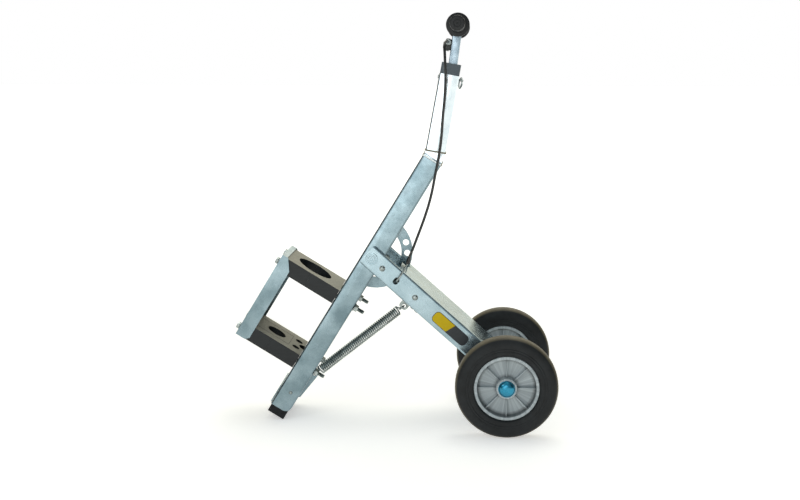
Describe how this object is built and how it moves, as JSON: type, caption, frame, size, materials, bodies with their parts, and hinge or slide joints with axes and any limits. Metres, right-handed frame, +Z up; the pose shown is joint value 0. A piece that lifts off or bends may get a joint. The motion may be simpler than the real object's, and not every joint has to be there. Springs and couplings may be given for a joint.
{
  "type": "demolition hammer trolley",
  "caption": "Two-wheel steel trolley for a demolition hammer: slanted column with a bored clamp cradle, folding wheel arm with lock sector, T-bar, release lever and return spring.",
  "frame": {"origin": "on the floor, under the middle of the bounding box", "axes": "+Z up (longest extent), +X from the cradle towards the wheels, +Y along the axle (shortest extent)"},
  "size_m": [0.808, 0.4106, 1.0189],
  "materials": {
    "zinc": "zinc-plated folded sheet, light blue-grey, soft reflections",
    "bright_zinc": "zinc-plated tube, brighter and smoother",
    "bolt_steel": "zinc-plated fastener steel",
    "spring_steel": "plated spring wire",
    "foot_rubber": "matt black rubber",
    "tyre_rubber": "solid black rubber tyre, slightly dusty tread",
    "grip_rubber": "black rubber grip",
    "hub_plastic": "grey moulded plastic with radial flow streaks",
    "block_plastic": "dark machined plastic, tops duller and browner",
    "collar_plastic": "dark grey moulded plastic",
    "cap_blue": "blue metallic dome",
    "cable_sheath": "black cable sheath",
    "lever_black": "black painted metal",
    "label_print": "plain two-tone label, no text"
  },
  "bodies": {
    "column": {"column_post": "zinc", "foot_plate": "zinc", "sector_plate": "zinc", "cradle_strap": "zinc", "spring_lug": "zinc", "foot_rivet": "bright_zinc", "mast_tube": "bright_zinc", "elbow_wedge": "bright_zinc", "handle_stem": "bright_zinc", "t_bar": "bright_zinc", "stem_pin": "bolt_steel", "pin_clip": "bolt_steel", "lever_pin": "bolt_steel", "clamp_bolt_upper_near": "bolt_steel", "clamp_nut_upper_near": "bolt_steel", "clamp_bolt_upper_far": "bolt_steel", "clamp_nut_upper_far": "bolt_steel", "clamp_bolt_lower_near": "bolt_steel", "clamp_nut_lower_near": "bolt_steel", "clamp_bolt_lower_far": "bolt_steel", "clamp_nut_lower_far": "bolt_steel", "return_spring": "spring_steel", "foot_pad": "foot_rubber", "grip_near": "grip_rubber", "grip_far": "grip_rubber", "upper_block_outer": "block_plastic", "upper_block_inner": "block_plastic", "lower_block_outer": "block_plastic", "lower_block_inner": "block_plastic", "mast_collar": "collar_plastic", "release_cable": "cable_sheath", "lever_perch": "lever_black"},
    "wheel_arm": {"arm_channel": "zinc", "arm_label": "label_print", "arm_screw_near": "bolt_steel", "arm_screw_far": "bolt_steel", "pivot_shaft": "bright_zinc", "pivot_spacer_near": "bright_zinc", "pivot_spacer_far": "bright_zinc", "pivot_boss_near": "bright_zinc", "pivot_boss_far": "bright_zinc", "spring_crossbar": "bolt_steel", "spring_hanger": "bolt_steel", "lock_housing": "zinc", "lock_spring": "spring_steel", "guide_tube": "bolt_steel", "cable_boot": "cable_sheath", "axle": "bolt_steel", "axle_spacer_near": "bolt_steel", "axle_spacer_far": "bolt_steel", "axle_cap_near": "cap_blue", "axle_cap_far": "cap_blue"},
    "near_wheel": {"tyre_near": "tyre_rubber", "wheel_hub_near": "hub_plastic"},
    "far_wheel": {"tyre_far": "tyre_rubber", "wheel_hub_far": "hub_plastic"},
    "trigger": {"release_lever": "lever_black"},
    "lock_bolt": {"lock_pin": "bolt_steel"}
  },
  "joints": [
    {"name": "arm_fold", "type": "hinge", "parent": "column", "child": "wheel_arm", "pos_m": [-0.056, 0, 0.421], "axis": [0, -1, 0], "range_deg": [-39, 58.5], "deforming": ["return_spring", "release_cable"]},
    {"name": "near_wheel_spin", "type": "hinge", "parent": "wheel_arm", "child": "near_wheel", "pos_m": [0.279, -0.17, 0.125], "axis": [0, 1, 0], "continuous": true},
    {"name": "far_wheel_spin", "type": "hinge", "parent": "wheel_arm", "child": "far_wheel", "pos_m": [0.279, 0.17, 0.125], "axis": [0, 1, 0], "continuous": true},
    {"name": "lever_squeeze", "type": "hinge", "parent": "column", "child": "trigger", "pos_m": [0.12718, 0.0175, 0.94545], "axis": [-0.1288, 0, -0.9917], "range_deg": [0, 18], "stiffness_Nm_per_rad": 1, "springref_deg": -8.59},
    {"name": "lock_pin_slide", "type": "slide", "parent": "wheel_arm", "child": "lock_bolt", "axis": [0, -1, 0], "range_m": [0, 0.01], "stiffness_N_per_m": 400, "springref_m": -0.005, "deforming": ["lock_spring"]}
  ],
  "couplings": [
    {"joint": "lock_pin_slide", "follows": "lever_squeeze", "m_per_rad": 0.0318}
  ]
}
